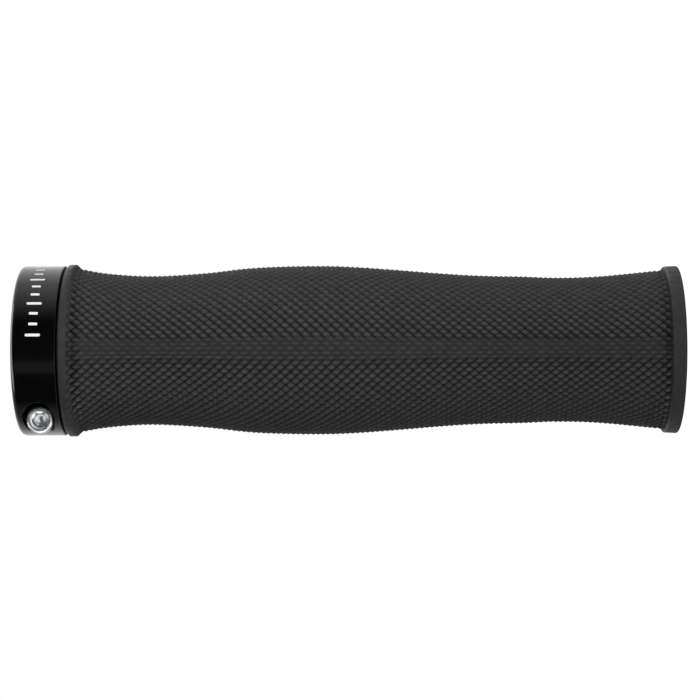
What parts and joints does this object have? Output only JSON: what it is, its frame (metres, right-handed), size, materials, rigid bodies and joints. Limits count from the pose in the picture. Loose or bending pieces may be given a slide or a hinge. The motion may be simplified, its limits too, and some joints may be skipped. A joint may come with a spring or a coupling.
{
  "type": "bicycle handlebar grip",
  "caption": "Lock-on handlebar grip: knurled rubber sleeve with a palm swell and end flanges on a hard core, held by a split clamp ring and bolt.",
  "frame": {"origin": "centre of the closed outer end face, which the grip stands on", "axes": "+Z along the grip's axis to the clamp end and the mouth of the bar bore; the clamp's split is at -X and the bolt's head looks towards -Y"},
  "size_m": [0.035, 0.035, 0.133],
  "materials": {
    "rubber": "matt black moulded rubber",
    "hard_plastic": "matt black hard plastic",
    "anodised_aluminium": "gloss black anodised",
    "plated_steel": "bright plated"
  },
  "bodies": {
    "root": {"grip_sleeve": "rubber", "core_tube": "hard_plastic", "clamp_ring": "anodised_aluminium", "clamp_bolt": "plated_steel"}
  },
  "joints": []
}
